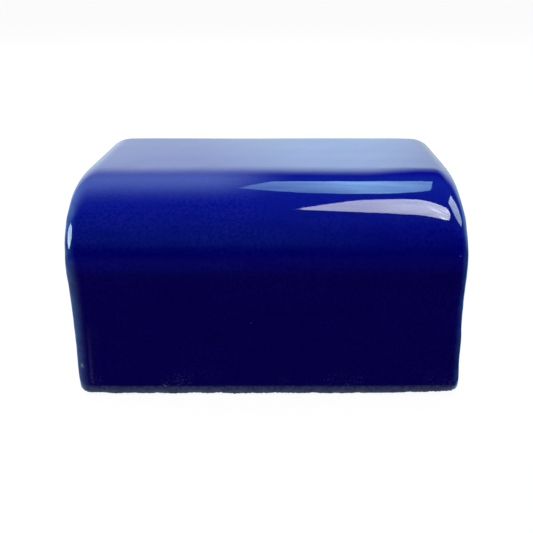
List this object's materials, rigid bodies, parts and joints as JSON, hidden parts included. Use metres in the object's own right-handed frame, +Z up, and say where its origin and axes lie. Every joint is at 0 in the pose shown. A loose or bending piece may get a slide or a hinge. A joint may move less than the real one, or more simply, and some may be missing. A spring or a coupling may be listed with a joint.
{
  "type": "edge trim tile",
  "caption": "Glazed ceramic edge-trim tile (V-cap): an L-section with a flat top leg, a large rounded nose and a short vertical drop, cobalt blue gloss glaze over bare fired clay",
  "frame": {"origin": "middle of the underside of the top leg, on the plane of the worktop that the tile is bedded on, halfway along the tile", "axes": "+X along the tile's length; -Y out of the drop leg's glazed face, so the top leg runs back to +Y; +Z up, out of the top leg's glazed face"},
  "size_m": [0.108, 0.079, 0.058],
  "materials": {
    "fired_clay": "matte",
    "cobalt_glaze": "gloss"
  },
  "bodies": {
    "root": {"clay_body": "fired_clay", "glaze_coat": "cobalt_glaze"}
  },
  "joints": []
}
